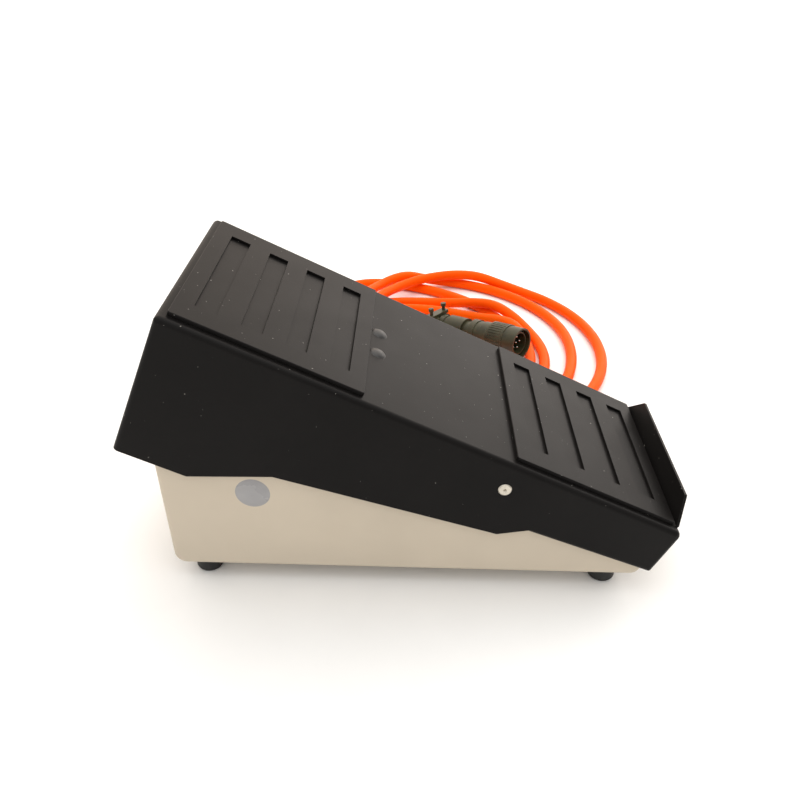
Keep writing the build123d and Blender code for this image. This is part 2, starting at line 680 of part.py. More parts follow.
def make_switch_nut(z):
    low = SWITCH_HALF_Y + BRACKET_SHEET
    nut = hexagon((-SWITCH_DISTANCE, low, z), (0, 1, 0), 5.5, 2.4)
    return SWITCH_PLACE * (nut - rod((-SWITCH_DISTANCE, low - 1, z), (0, 1, 0), SWITCH_SCREW_R, 6))


def make_switch_bracket():
    low, high = SWITCH_HALF_Y, SWITCH_HALF_Y + BRACKET_SHEET
    middle_z = PIVOT_Z + SWITCH_RISE
    wall = block((SWITCH_X - 12, SWITCH_X + 8), (low, high), (FLOOR_Z, middle_z + 12.5))
    foot = block((SWITCH_X - 12, SWITCH_X + 12), (low, 22.0), (FLOOR_Z, FLOOR_Z + BRACKET_SHEET))
    bracket = PIVOT_PLACE * (wall + foot)
    for z in SWITCH_SCREWS:
        bracket -= SWITCH_PLACE * rod((-SWITCH_DISTANCE, 0, z), (0, 1, 0), SWITCH_SCREW_R, 20)
    for x, y in SWITCH_FEET:
        bracket -= PIVOT_PLACE * rod((x, y, 0), (0, 0, 1), M4_R, 30)
    return bracket


# ---- terminal strip and inner leads ----
def make_terminal_strip():
    """Moulded block with a row of open wire wells."""
    base = block((STRIP_X - 23, STRIP_X + 23), STRIP_Y, (FLOOR_Z, FLOOR_Z + 3.0))
    wall = block((STRIP_X - 14, STRIP_X + 14), STRIP_Y, (FLOOR_Z, FLOOR_Z + 11.0))
    strip = base + wall
    for x in STRIP_WIRE_X:
        strip -= rod((x, STRIP_MIDDLE_Y, FLOOR_Z + 6.0), (0, 0, 1), 1.9, 10.0)
    for x, y in STRIP_SCREWS:
        strip -= rod((x, y, 0), (0, 0, 1), STRIP_SCREW_R, 30)
    return PIVOT_PLACE * strip


def make_wire_screw(x):
    screw = rod((x, STRIP_MIDDLE_Y, FLOOR_Z + 6.0), (0, 0, 1), 1.8, 4.2)
    slot_y = (STRIP_MIDDLE_Y - 0.3, STRIP_MIDDLE_Y + 0.3)
    slot = block((x - 2, x + 2), slot_y, (FLOOR_Z + 9.4, FLOOR_Z + 12))
    return PIVOT_PLACE * (screw - slot)


def make_strip_screw(x, y):
    head = dome((x, y, FLOOR_Z + 3.0), (0, 0, 1), 3.0, 1.6)
    return PIVOT_PLACE * (head + rod((x, y, FOOT_HEIGHT - 2.0), (0, 0, 1), STRIP_SCREW_R, 6.5))


def lead(points):
    """One insulated wire along straight runs joined by arcs."""
    path = soft_path(points)
    section = Plane(origin=path @ 0, z_dir=path % 0) * Circle(LEAD_R)
    return PIVOT_PLACE * sweep(section, path=path)


def strip_leads():
    """Wires from the cable's stripped end to the terminal strip."""
    wires = []
    for index, x in enumerate(STRIP_WIRE_X):
        start_x = GLAND_X + (index - 2) * 1.5
        wires.append([
            (start_x, JACKET_END_Y, GLAND_Z),
            (start_x, JACKET_END_Y - 4.5, GLAND_Z),
            (x, STRIP_Y[1] + 3.0, WIRE_Z),
            (x, STRIP_Y[1], WIRE_Z),
        ])
    return [lead(points) for points in wires]


def pot_lead(index, x, shift):
    """From a way of the strip, along the floor and up to a lug of the potentiometer."""
    return lead([
        (x, STRIP_Y[0], WIRE_Z),
        (x, STRIP_Y[0] - 7.0, WIRE_Z),
        (x - 16.0, -6.0 - index * 3, FLOOR_Z + 2.0),
        (-58.0, -14.0 - index * 3, FLOOR_Z + 3.0),
        (POT_X + shift, -34.0 - index, FLOOR_Z + 10.0),
        (POT_X + shift, -20.4, POT_Z - 23.0),
    ])


def switch_lead(index, x):
    """From a way of the strip, along the floor and up to a tab of the switch."""
    return lead([
        (x, STRIP_Y[0], WIRE_Z),
        (x, STRIP_Y[0] - 7.0, WIRE_Z),
        (x - 22.0, 2.0 - index, FLOOR_Z + 2.0),
        (-35.0 - index, -1.0 - index, FLOOR_Z + 4.0),
        (SWITCH_X + 13.5 + 5.4 * index, 0.0, PIVOT_Z - 6.0 + 9.0 * index),
    ])


def device_leads():
    to_pot = [pot_lead(index, STRIP_WIRE_X[index], (index - 1) * 6.0) for index in range(3)]
    to_switch = [switch_lead(index, STRIP_WIRE_X[index + 3]) for index in range(2)]
    return to_pot + to_switch


# ---- cable ----
def arc_radii(points):
    """For each corner, 0.45 of the shorter run over the tangent of half the turn."""
    radii = []
    for before, at, after in zip(points, points[1:], points[2:]):
        first = Vector(*at) - Vector(*before)
        second = Vector(*after) - Vector(*at)
        turn = first.get_angle(second)
        shorter = min(first.length, second.length)
        radii.append(0.45 * shorter / math.tan(math.radians(turn / 2)))
    return radii


def soft_path(points):
    return FilletPolyline(*points, radius=arc_radii(points))


def make_cable(route):
    path = soft_path(route)
    section = Plane(origin=path @ 0, z_dir=path % 0) * Circle(CABLE_D / 2)
    tube = sweep(section, path=path)
    expected = path.length * math.pi * CABLE_D**2 / 4
    radii = " ".join(f"{radius:.0f}" for radius in arc_radii(route))
    share = tube.volume / expected
    print(f"cable: length {path.length:.0f}, radii {radii}, volume over expected {share:.3f}")
    return PIVOT_PLACE * tube


def make_coil():
    """The loose coil's outer shape, an oval ring two cables high."""
    outer = Pos(*COIL_CENTRE) * Ellipse(*COIL_OUTER)
    inner = Pos(*COIL_INNER_CENTRE) * Ellipse(*COIL_INNER)
    ring = extrude(outer - inner, COIL_HEIGHT)
    ring = fillet(ring.edges(), 4.0)
    return PIVOT_PLACE * ring


def make_gland_body():
    """Hexagon body with its thread through the wall, bored for the cable."""
    body = hexagon((GLAND_X, TRAY_HALF, GLAND_Z), (0, 1, 0), 19.0, 4.0)
    start = TRAY_HALF - TRAY_SHEET - 8.0
    body += rod((GLAND_X, start, GLAND_Z), (0, 1, 0), GLAND_HOLE_R, GLAND_THREAD_END_Y - start)
    body -= rod((GLAND_X, 0, GLAND_Z), (0, 1, 0), CABLE_D / 2, 120)
    return PIVOT_PLACE * body


def make_gland_locknut():
    low = TRAY_HALF - TRAY_SHEET
    nut = hexagon((GLAND_X, low, GLAND_Z), (0, -1, 0), 19.0, 4.0)
    return PIVOT_PLACE * (nut - rod((GLAND_X, low + 1, GLAND_Z), (0, -1, 0), GLAND_HOLE_R, 8))


def make_gland_nut():
    """Ribbed dome nut that closes on the strain relief."""
    low = TRAY_HALF + 4.0
    nut = hexagon((GLAND_X, low, GLAND_Z), (0, 1, 0), 19.0, 7.0)
    nut += cone((GLAND_X, low + 7.0, GLAND_Z), (0, 1, 0), 9.4, 7.6, 4.5)
    nut -= rod((GLAND_X, low - 1, GLAND_Z), (0, 1, 0), GLAND_HOLE_R, GLAND_THREAD_END_Y - low + 1)
    nut -= rod((GLAND_X, low - 1, GLAND_Z), (0, 1, 0), 6.4, 20)
    return PIVOT_PLACE * nut


def make_strain_relief():
    """A tapered rubber sleeve round the cable where it leaves the gland nut."""
    start = GLAND_THREAD_END_Y
    sleeve = cone((GLAND_X, start, GLAND_Z), (0, 1, 0), 6.4, 5.3, RELIEF_END_Y - start)
    return PIVOT_PLACE * (sleeve - rod((GLAND_X, 0, GLAND_Z), (0, 1, 0), CABLE_D / 2, 200))


def make_jacket_stub():
    """The cable's stretch inside the gland and the strain relief, up to its stripped end."""
    length = RELIEF_END_Y - JACKET_END_Y
    return PIVOT_PLACE * rod((GLAND_X, JACKET_END_Y, GLAND_Z), (0, 1, 0), CABLE_D / 2, length)


# ---- connector ----
def collar(outer_r, inner_r, low, high):
    body = Cylinder(outer_r, high - low) - Cylinder(inner_r, high - low)
    return Pos(0, 0, (low + high) / 2) * body


def make_coupling_nut():
    """Coupling nut: a knurled band, a smooth lip and a thread inside."""
    nut = collar(NUT_R, 11.4, -29.0, -12.5)
    nut += collar(NUT_R - 0.6, 11.4, -12.5, 0.0)
    nut += collar(NUT_R - 1.3, 10.2, NUT_BACK, -29.0)
    flutes = 36
    for index in range(flutes):
        angle = math.radians(index * 360 / flutes)
        spot = (NUT_R * math.cos(angle), NUT_R * math.sin(angle), -27.5)
        nut -= rod(spot, (0, 0, 1), 0.45, 13.5)
    nut -= collar(11.9, 11.3, -10.0, -9.0)
    nut -= collar(11.9, 11.3, -7.0, -6.0)
    return CONNECTOR_PLACE * nut


def make_connector_shell():
    """Plug shell: a keyed barrel inside the nut and three stepped rings behind it."""
    shell = collar(9.4, 8.4, -20.0, -2.5)
    shell += collar(11.0, 6.0, -28.6, -20.0)
    shell += collar(10.1, 6.0, NUT_BACK - 0.4, -28.6)
    shell += collar(11.6, 6.0, NUT_BACK - 7.0, NUT_BACK - 0.4)
    shell += collar(11.0, 6.0, NUT_BACK - 13.0, NUT_BACK - 7.0)
    shell += collar(11.6, 6.0, SHELL_BACK, NUT_BACK - 13.0)
    shell += block((-1.0, 1.0), (9.0, 10.6), (-20.0, -4.0))
    return CONNECTOR_PLACE * shell


def make_key_dot():
    spot = (0, 11.6, NUT_BACK - 3.8)
    return CONNECTOR_PLACE * rod(spot, (0, 1, 0), 1.0, 0.8)


def make_insert():
    """Insulating insert that holds the pins."""
    insert = Pos(0, 0, -17.0) * Cylinder(8.4, 6.0)
    for x, y in pin_places():
        insert -= rod((x, y, -30), (0, 0, 1), CONTACT_R, 30)
    return CONNECTOR_PLACE * insert


def pin_places():
    ring_r = 4.8
    turns = [math.radians(90 + index * 72) for index in range(5)]
    return [(0.0, 0.0)] + [(ring_r * math.cos(a), ring_r * math.sin(a)) for a in turns]


def make_contact(x, y):
    pin = rod((x, y, -22.0), (0, 0, 1), CONTACT_R, 16.0)
    return CONNECTOR_PLACE * (pin + Pos(x, y, -6.0) * Sphere(CONTACT_R))


def make_backshell():
    """End bell: a narrow neck behind the shell, then a plain barrel."""
    bell = collar(8.4, 6.0, SHELL_BACK - 8.0, SHELL_BACK)
    bell += collar(10.6, 6.0, BACKSHELL_BACK + 4.0, SHELL_BACK - 8.0)
    bell += collar(8.8, 6.0, BACKSHELL_BACK, BACKSHELL_BACK + 4.0)
    return CONNECTOR_PLACE * bell


def make_clamp_ring():
    """Cable clamp's root: a ring with two ears for the saddles' screws."""
    root = collar(9.4, 6.0, BACKSHELL_BACK - 5.0, BACKSHELL_BACK)
    for way in (-1, 1):
        ear = block((way * 7.0 - 2.4, way * 7.0 + 2.4), (-8.4, 8.4), (CLAMP_BACK, BACKSHELL_BACK - 4))
        root += ear & collar(11.0, 6.0, CLAMP_BACK, BACKSHELL_BACK)
    for way in (-1, 1):
        root -= rod((way * CLAMP_BOLT_X, -20, CLAMP_BACK + 6.0), (0, 1, 0), CLAMP_BOLT_R, 40)
    return CLAMP_PLACE * root


def make_saddle(way):
    """One bar of the cable clamp, hollowed to the grommet."""
    bar = block((-11.0, 11.0), (8.4, CLAMP_HALF), (CLAMP_BACK + 2.0, CLAMP_BACK + 10.0))
    bar = fillet(bar.edges().filter_by(Axis.Y), 1.6)
    for side in (-1, 1):
        bar -= rod((side * CLAMP_BOLT_X, -20, CLAMP_BACK + 6.0), (0, 1, 0), CLAMP_BOLT_R, 40)
    return CLAMP_PLACE * (bar if way > 0 else Rot(0, 0, 180) * bar)


def make_clamp_bolt(side):
    x = side * CLAMP_BOLT_X
    head = rod((x, CLAMP_HALF + 3.4, CLAMP_BACK + 6.0), (0, 1, 0), 2.3, 2.6)
    shank = rod((x, -CLAMP_HALF, CLAMP_BACK + 6.0), (0, 1, 0), CLAMP_BOLT_R, 2 * CLAMP_HALF + 3.4)
    return CLAMP_PLACE * (head + shank)


def make_grommet():
    """Rubber sleeve round the cable inside the clamp and the end bell."""
    return CONNECTOR_PLACE * collar(5.9, CABLE_D / 2, CLAMP_BACK, BACKSHELL_BACK + 10.0)


def make_cable_end():
    """The last stretch of cable, inside the grommet."""
    return CONNECTOR_PLACE * rod((0, 0, CLAMP_BACK), (0, 0, 1), CABLE_D / 2, 25.0)


def tail_route():
    """The tail ends square to the back of the clamp."""
    back = CONNECTOR_PLACE * Pos(0, 0, CLAMP_BACK)
    before = CONNECTOR_PLACE * Pos(0, 0, CLAMP_BACK - TAIL_STRAIGHT)
    ends = []
    for place in (before, back):
        spot = place.position
        ends.append((spot.X - PIVOT_X, spot.Y, spot.Z))
    return TAIL_ROUTE + ends


# ---- the nodes ----
def in_treadle(shapes):
    return [TREADLE_PLACE * shape for shape in shapes]


def make_nodes():
    down_limit = plate_above(PRESS_ANGLE)
    up_limit = plate_above(0)
    bushings = both_sides(make_bushing())
    return {
        "treadle": in_treadle([make_treadle()]),
        "toe_pad": in_treadle([make_pad(TOE_PAD_U)]),
        "heel_pad": in_treadle([make_pad(HEEL_PAD_U)]),
        "treadle_bolts": in_treadle([make_treadle_bolt(v) for v in (-SCREW_V, SCREW_V)]),
        "treadle_nuts": in_treadle([make_treadle_nut(v) for v in (-SCREW_V, SCREW_V)]),
        "sector_bracket": in_treadle([make_sector_bracket()]),
        "sector_gear": in_treadle([make_sector()]),
        "sector_rivets": in_treadle([make_rivet(u, w) for u, w in RIVETS]),
        "upper_spring_seats": [make_upper_seat(x, y) for x, y in SPRINGS],
        "pivot_shaft": [make_pivot_shaft()],
        "retaining_clips": [make_clip(way * CLIP_Y) for way in (-1, 1)],
        "base_tray": [make_tray()],
        "pivot_bushings": bushings,
        "rubber_feet": [make_foot(x, y) for x, y in FEET],
        "foot_screws": [make_foot_screw(x, y) for x, y in FEET],
        "foot_nuts": [make_floor_nut(x, y) for x, y in FEET],
        "hole_plug": [make_hole_plug()],
        "down_stops": [make_bumper(x, y, TRAY_BACK_Z, down_limit) for x, y in TOE_BUMPERS],
        "up_stops": [make_bumper(x, y, TRAY_FRONT_Z, up_limit) for x, y in HEEL_BUMPERS],
        "lower_spring_seats": [make_lower_seat(x, y) for x, y in SPRINGS],
        "near_return_spring": [make_spring(*SPRINGS[0])],
        "far_return_spring": [make_spring(*SPRINGS[1])],
        "pot_bracket": [make_pot_bracket()],
        "pot_body": [make_pot_body()],
        "pot_lugs": [make_pot_lugs()],
        "pot_nut": [make_pot_nut()],
        "pot_shaft": [make_pot_shaft()],
        "pinion": [make_pinion()],
        "switch_bracket": [make_switch_bracket()],
        "switch_body": [make_switch_body()],
        "switch_plunger": [make_plunger()],
        "switch_screws": [make_switch_screw(z) for z in SWITCH_SCREWS],
        "switch_nuts": [make_switch_nut(z) for z in SWITCH_SCREWS],
        "bracket_screws": [make_bracket_screw(x, y) for x, y in POT_FEET + SWITCH_FEET],
        "bracket_nuts": [
            make_floor_nut(x, y, FLOOR_Z + BRACKET_SHEET) for x, y in POT_FEET + SWITCH_FEET
        ],
        "terminal_strip": [make_terminal_strip()],
        "terminal_screws": [make_wire_screw(x) for x in STRIP_WIRE_X],
        "strip_screws": [make_strip_screw(x, y) for x, y in STRIP_SCREWS],
        "strip_leads": strip_leads(),
        "device_leads": device_leads(),
        "gland_body": [make_gland_body()],
        "gland_locknut": [make_gland_locknut()],
        "gland_nut": [make_gland_nut()],
        "strain_relief": [make_strain_relief()],
        "cable_inner_end": [make_jacket_stub()],
        "cable_lead": [make_cable(LEAD_ROUTE)],
        "cable_coil": [make_coil()],
        "cable_tail": [make_cable(tail_route())],
        "coupling_nut": [make_coupling_nut()],
        "connector_shell": [make_connector_shell()],
        "connector_key_dot": [make_key_dot()],
        "connector_insert": [make_insert()],
        "connector_pins": [make_contact(x, y) for x, y in pin_places()],
        "connector_backshell": [make_backshell()],
        "clamp_root": [make_clamp_ring()],
        "clamp_saddles": [make_saddle(way) for way in (-1, 1)],
        "clamp_screws": [make_clamp_bolt(side) for side in (-1, 1)],
        "cable_grommet": [make_grommet()],
        "cable_tail_end": [make_cable_end()],
    }


os.makedirs("parts", exist_ok=True)
for name, shapes in make_nodes().items():
    solids = [solid for shape in shapes for solid in shape.solids()]
    node = solids[0] if len(solids) == 1 else Compound(children=solids)
    export_step(node, f"parts/{name}.step")
print(f"pivot x {PIVOT_X:.3f}, pot {PIVOT_X + POT_X:.3f} {POT_Z:.3f}")
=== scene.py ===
import json
import math

import bpy
import numpy as np
from mathutils import Euler, Matrix, Vector


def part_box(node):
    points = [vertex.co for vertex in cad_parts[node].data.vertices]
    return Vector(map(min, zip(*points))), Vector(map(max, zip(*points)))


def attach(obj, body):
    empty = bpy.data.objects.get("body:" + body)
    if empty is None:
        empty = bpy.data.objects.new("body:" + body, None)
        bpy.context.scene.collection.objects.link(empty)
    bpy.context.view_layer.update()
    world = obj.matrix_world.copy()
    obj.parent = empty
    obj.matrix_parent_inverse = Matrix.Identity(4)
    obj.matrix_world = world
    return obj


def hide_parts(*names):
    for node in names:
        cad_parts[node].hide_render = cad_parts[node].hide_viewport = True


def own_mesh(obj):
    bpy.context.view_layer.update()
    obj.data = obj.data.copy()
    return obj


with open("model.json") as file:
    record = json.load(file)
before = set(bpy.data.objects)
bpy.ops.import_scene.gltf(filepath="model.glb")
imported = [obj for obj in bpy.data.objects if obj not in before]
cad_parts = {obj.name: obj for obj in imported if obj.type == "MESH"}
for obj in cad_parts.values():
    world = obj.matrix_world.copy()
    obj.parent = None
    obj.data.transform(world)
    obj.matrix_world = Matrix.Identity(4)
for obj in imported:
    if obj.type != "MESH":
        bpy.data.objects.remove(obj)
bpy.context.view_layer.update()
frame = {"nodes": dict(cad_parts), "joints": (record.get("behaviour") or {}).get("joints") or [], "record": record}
RECORD = frame["record"]
JOINTS = {joint["name"]: joint for joint in frame["joints"]}

MM = 0.001
PIVOT = Vector(JOINTS["treadle_press"]["pos_m"])

# ---- the cable, in millimetres; x is counted from the pivot, as in the part's source ----
CABLE_D = 9.0
LEAD_ROUTE = [
    (10.0, 98.0, 28.0),
    (10.0, 124.0, 28.0),
    (2.0, 153.0, 23.0),
    (-20.0, 175.0, 15.5),
    (-48.0, 185.0, 8.5),
    (-80.0, 190.0, 5.0),
    (-109.0, 206.0, 4.6),
    (-128.0, 233.0, 4.7),
]
TAIL_ROUTE = [
    (-129.0, 202.0, 13.8),
    (-127.0, 242.0, 14.4),
    (-97.0, 275.0, 9.0),
]
CONNECTOR_MOUTH = (41.5, 189.0, 24.8)
CONNECTOR_AXIS = Vector(JOINTS["coupling_nut_turn"]["axis"])
CLAMP_BACK = 97.0  # from the mouth to where the cable goes in
TAIL_STRAIGHT = 36.0  # the straight stretch before it
# Each turn's reach to the left, to the far side, to the right and to the near side, and how
# far the middle of its far side leans left. They differ, because nothing ties the coil.
TURNS = [
    (-130.0, 352.0, 40.0, 128.0, 40.0),
    (-139.0, 294.0, 53.0, 118.5, 10.0),
    (-150.0, 309.0, 65.0, 109.0, 4.0),
    (-106.0, 358.0, 90.0, 99.5, 18.0),
    (-98.0, 353.0, 115.0, 90.0, 4.0),
    (-129.0, 292.0, 0.0, 0.0, 0.0),  # where the last turn runs on into the tail
]
FIRST_NEAR = 109.0  # puts the first turn's start where the lead ends
POINTS_PER_TURN = 30  # control points
SAMPLES_PER_TURN = 120  # places where the heights are worked out
OWN_SAMPLES = SAMPLES_PER_TURN // 4  # a strand doesn't rest on its own last quarter turn
FLOOR_GAP = 0.1
TOUCH_MARGIN = 0.3
TOUCH = CABLE_D + TOUCH_MARGIN  # closer than this, seen from above, strands lie on each other
LIFT = 11.2  # height of a strand's line over the one that it crosses
SAG = 0.10  # how far a free sample hangs below the middle of its two neighbours
RISING_PASSES = 500  # rounds of letting the heights settle
LOW_LEAD = 10.0  # the lead's stretch under this height lies under the coil
LEAD_STEPS = 10  # samples on each run of the lead
CURVE_STEPS = 8  # straight pieces between two control points
BEVEL_STEPS = 5  # roundness of a tube


def coil_spot(turn):
    """Where the coil's line is after that many turns, seen from above."""
    index = min(int(turn), len(TURNS) - 2)
    part = turn - index
    angle = 2 * math.pi * part
    left, far, right, near, lean = TURNS[index]
    next_left, next_far = TURNS[index + 1][:2]
    first, last = (left, right) if part < 0.5 else (next_left, right)
    x = (first + last) / 2 - (last - first) / 2 * math.cos(angle)
    if part < 0.5:
        x -= lean * math.sin(angle) ** 2
    low, high = near, far
    if part < 0.25:
        low = TURNS[index - 1][3] if index else FIRST_NEAR
    if part > 0.75:
        high = next_far
    y = (low + high) / 2 + (high - low) / 2 * math.sin(angle)
    return x, y


def low_lead_spots():
    """Close points along the part of the lead that lies on the floor."""
    spots = []
    for start, end in zip(LEAD_ROUTE, LEAD_ROUTE[1:]):
        for step in range(LEAD_STEPS):
            spot = Vector(start).lerp(Vector(end), step / LEAD_STEPS)
            if spot.z < LOW_LEAD:
                spots.append(spot)
    return spots


def settled_heights(spots, under):
    """Heights of the coil's line: each strand rests on the floor or on the strands below it."""
    count = len(under) + len(spots)
    flat = np.array([(p[0], p[1]) for p in under] + spots)
    floor = CABLE_D / 2 + FLOOR_GAP
    height = np.array([p[2] for p in under] + [floor] * len(spots))
    gap = np.linalg.norm(flat[:, None, :] - flat[None, :, :], axis=2)
    upper, lower = np.nonzero(gap < TOUCH)
    later = upper - lower > OWN_SAMPLES
    upper, lower = upper[later], lower[later]
    rise = LIFT * np.sqrt(1 - (gap[upper, lower] / TOUCH) ** 2)
    first = len(under)
    for _ in range(RISING_PASSES):
        needed = np.full(count, floor)
        np.maximum.at(needed, upper, height[lower] + rise)
        rope = height.copy()
        rope[1:-1] = (height[:-2] + height[2:]) / 2 - SAG
        rope[-1] = TAIL_ROUTE[0][2]
        height[first:] = np.maximum(needed, rope)[first:]
    return height[first:]


def coil_points():
    """The coil's control points, from the lead's end to the tail's start."""
    turns = len(TURNS) - 1
    samples = turns * SAMPLES_PER_TURN
    spots = [coil_spot(index / SAMPLES_PER_TURN) for index in range(samples + 1)]
    heights = settled_heights(spots, low_lead_spots())
    every = SAMPLES_PER_TURN // POINTS_PER_TURN
    chosen = range(every, samples, every)
    return [(*spots[index], heights[index]) for index in chosen]


def tail_end_points():
    """The straight last stretch, square to the back of the cable clamp."""
    mouth = Vector(CONNECTOR_MOUTH)
    return [tuple(mouth - CONNECTOR_AXIS * (CLAMP_BACK + more)) for more in (TAIL_STRAIGHT, 0.0)]


def placed(point):
    """A point counted from the pivot, in metres in the shared frame."""
    return Vector((point[0] * MM + PIVOT.x, point[1] * MM, point[2] * MM))


def tube_curve(name, points, radius, resolution=CURVE_STEPS):
    """A round curve of one open spline with these control points."""
    data = bpy.data.curves.new(name, "CURVE")
    data.dimensions = "3D"
    data.bevel_depth = radius
    data.bevel_resolution = BEVEL_STEPS
    data.resolution_u = resolution
    spline = data.splines.new("NURBS")
    spline.points.add(len(points) - 1)
    for target, point in zip(spline.points, points):
        target.co = (*point, 1.0)
    spline.order_u = 3
    spline.use_endpoint_u = True
    piece = bpy.data.objects.new(name, data)
    bpy.context.scene.collection.objects.link(piece)
    return piece


def make_cable():
    route = LEAD_ROUTE + coil_points() + TAIL_ROUTE + tail_end_points()
    cable = tube_curve("orange_cable", [placed(point) for point in route], CABLE_D / 2 * MM)
    cable.data.materials.append(MATERIALS["orange_jacket"])
    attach(cable, "base")
    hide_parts("cable_lead", "cable_coil", "cable_tail")


# ---- return springs ----
SPRING_R = 9.0 * MM  # to the middle of the wire
SPRING_WIRE = 1.1 * MM  # the wire's radius
SPRING_TURNS = 9
SPRING_STEPS = 16  # points to a turn
SPRING_CURVE_STEPS = 3
DEAD_TURNS = 0.9  # closed turns at each end


def spring_point(middle, low, height, turn):
    """A point of the wire: the end turns lie flat and the rest climb evenly."""
    live = SPRING_TURNS - 2 * DEAD_TURNS
    climbed = min(max((turn - DEAD_TURNS) / live, 0.0), 1.0)
    closed = 2 * SPRING_WIRE
    flat_rise = closed * (min(turn, DEAD_TURNS) + max(turn - DEAD_TURNS - live, 0.0)) / DEAD_TURNS
    rise = flat_rise + climbed * (height - 2 * closed - 2 * SPRING_WIRE)
    angle = 2 * math.pi * turn
    across = Vector((SPRING_R * math.cos(angle), SPRING_R * math.sin(angle), 0))
    return middle + across + Vector((0, 0, low + SPRING_WIRE + rise - middle.z))


def make_spring(name, node):
    low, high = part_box(node)
    middle = (low + high) / 2
    steps = SPRING_TURNS * SPRING_STEPS
    height = high.z - low.z
    points = [
        spring_point(middle, low.z, height, step / SPRING_STEPS) for step in range(steps + 1)
    ]
    wire = tube_curve(name + "_line", points, SPRING_WIRE, resolution=SPRING_CURVE_STEPS)
    bpy.context.view_layer.update()
    solid = wire.evaluated_get(bpy.context.evaluated_depsgraph_get())
    piece = bpy.data.objects.new(name, bpy.data.meshes.new_from_object(solid))
    bpy.data.objects.remove(wire)
    bpy.context.scene.collection.objects.link(piece)
    piece.data.materials.clear()
    piece.data.materials.append(MATERIALS["spring_steel"])
    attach(piece, "base")
    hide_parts(node)
    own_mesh(piece)


# ---- materials ----
MIX_FIRST, MIX_SECOND, MIX_RESULT = 6, 7, 2  # a Mix node's colour sockets; their names repeat
RANGE_SOCKETS = slice(1, 5)  # a Map Range node's From Min, From Max, To Min and To Max
NOISE_SPAN = (0.3, 0.7)  # where most of a noise's values lie
PATCH_SCALE = 140.0  # the noise that breaks up worn edges
PATCH_SPAN = (0.42, 0.62)
DUST_SCALE = 800.0
DUST_SPAN = (0.865, 0.885)  # only a noise's few highest values become specks
EDGE_SPAN = (0.80, 0.985)  # agreement of bevelled and true normals: full wear, and none
EDGE_SAMPLES = 4
PLAIN_LOOK = {
    "metallic": 0.0,
    "specular": 0.5,
    "ior": 1.5,
    "vary": 0.08,  # how much darker and lighter the blotches are
    "blotch": 22.0,  # scale of the blotches, and below it of the smears and the grain
    "smears": 35.0,
    "grain": 900.0,
    "squeeze": (1, 1, 1),  # packs the grain closer along an axis
    "uneven": 0.05,  # how far the roughness strays either way
    "relief": 0.35,  # strength of the grain's bump
    "depth": 0.0001,  # its depth, in metres
    "edge": 0.0006,  # reach of the wear along edges, in metres
}


def add_node(owner, kind, **settings):
    """A new node of a material or of the world."""
    node = owner.node_tree.nodes.new(kind)
    for key, value in settings.items():
        setattr(node, key, value)
    return node


def noise(material, scale, detail=3.0, squeeze=(1, 1, 1)):
    """A noise in the object's own metres; squeeze packs it closer along an axis."""
    where = add_node(material, "ShaderNodeTexCoord")
    mapping = add_node(material, "ShaderNodeMapping")
    mapping.inputs["Scale"].default_value = squeeze
    texture = add_node(material, "ShaderNodeTexNoise")
    texture.inputs["Scale"].default_value = scale
    texture.inputs["Detail"].default_value = detail
    links = material.node_tree.links
    links.new(where.outputs["Object"], mapping.inputs["Vector"])
    links.new(mapping.outputs["Vector"], texture.inputs["Vector"])
    return texture.outputs["Fac"]


def spread(owner, value, low, high, span=NOISE_SPAN):
    """A value between the ends of span, moved to lie between low and high."""
    node = add_node(owner, "ShaderNodeMapRange")
    for socket, number in zip(node.inputs[RANGE_SOCKETS], (*span, low, high)):
        socket.default_value = number
    owner.node_tree.links.new(value, node.inputs["Value"])
    return node.outputs["Result"]


def mixed(owner, factor, first, second):
    """Two colours mixed; either may be a socket."""
    node = add_node(owner, "ShaderNodeMix", data_type="RGBA")
    links = owner.node_tree.links
    links.new(factor, node.inputs["Factor"])
    for socket, colour in ((node.inputs[MIX_FIRST], first), (node.inputs[MIX_SECOND], second)):
        if isinstance(colour, bpy.types.NodeSocket):
            links.new(colour, socket)
        else:
            socket.default_value = (*colour, 1)
    return node.outputs[MIX_RESULT]


def edge_mask(material, radius):
    """White along sharp edges, where paint and plating wear."""
    bevel = add_node(material, "ShaderNodeBevel", samples=EDGE_SAMPLES)
    bevel.inputs["Radius"].default_value = radius
    geometry = add_node(material, "ShaderNodeNewGeometry")
    agree = add_node(material, "ShaderNodeVectorMath", operation="DOT_PRODUCT")
    links = material.node_tree.links
    links.new(bevel.outputs["Normal"], agree.inputs[0])
    links.new(geometry.outputs["Normal"], agree.inputs[1])
    return spread(material, agree.outputs["Value"], 1.0, 0.0, EDGE_SPAN)


def times(owner, first, second):
    """The product of two values."""
    node = add_node(owner, "ShaderNodeMath", operation="MULTIPLY")
    owner.node_tree.links.new(first, node.inputs[0])
    owner.node_tree.links.new(second, node.inputs[1])
    return node.outputs["Value"]


def summed(owner, first, second):
    """The sum of a value and another value or a plain number."""
    node = add_node(owner, "ShaderNodeMath", operation="ADD")
    owner.node_tree.links.new(first, node.inputs[0])
    if isinstance(second, bpy.types.NodeSocket):
        owner.node_tree.links.new(second, node.inputs[1])
    else:
        node.inputs[1].default_value = second
    return node.outputs["Value"]


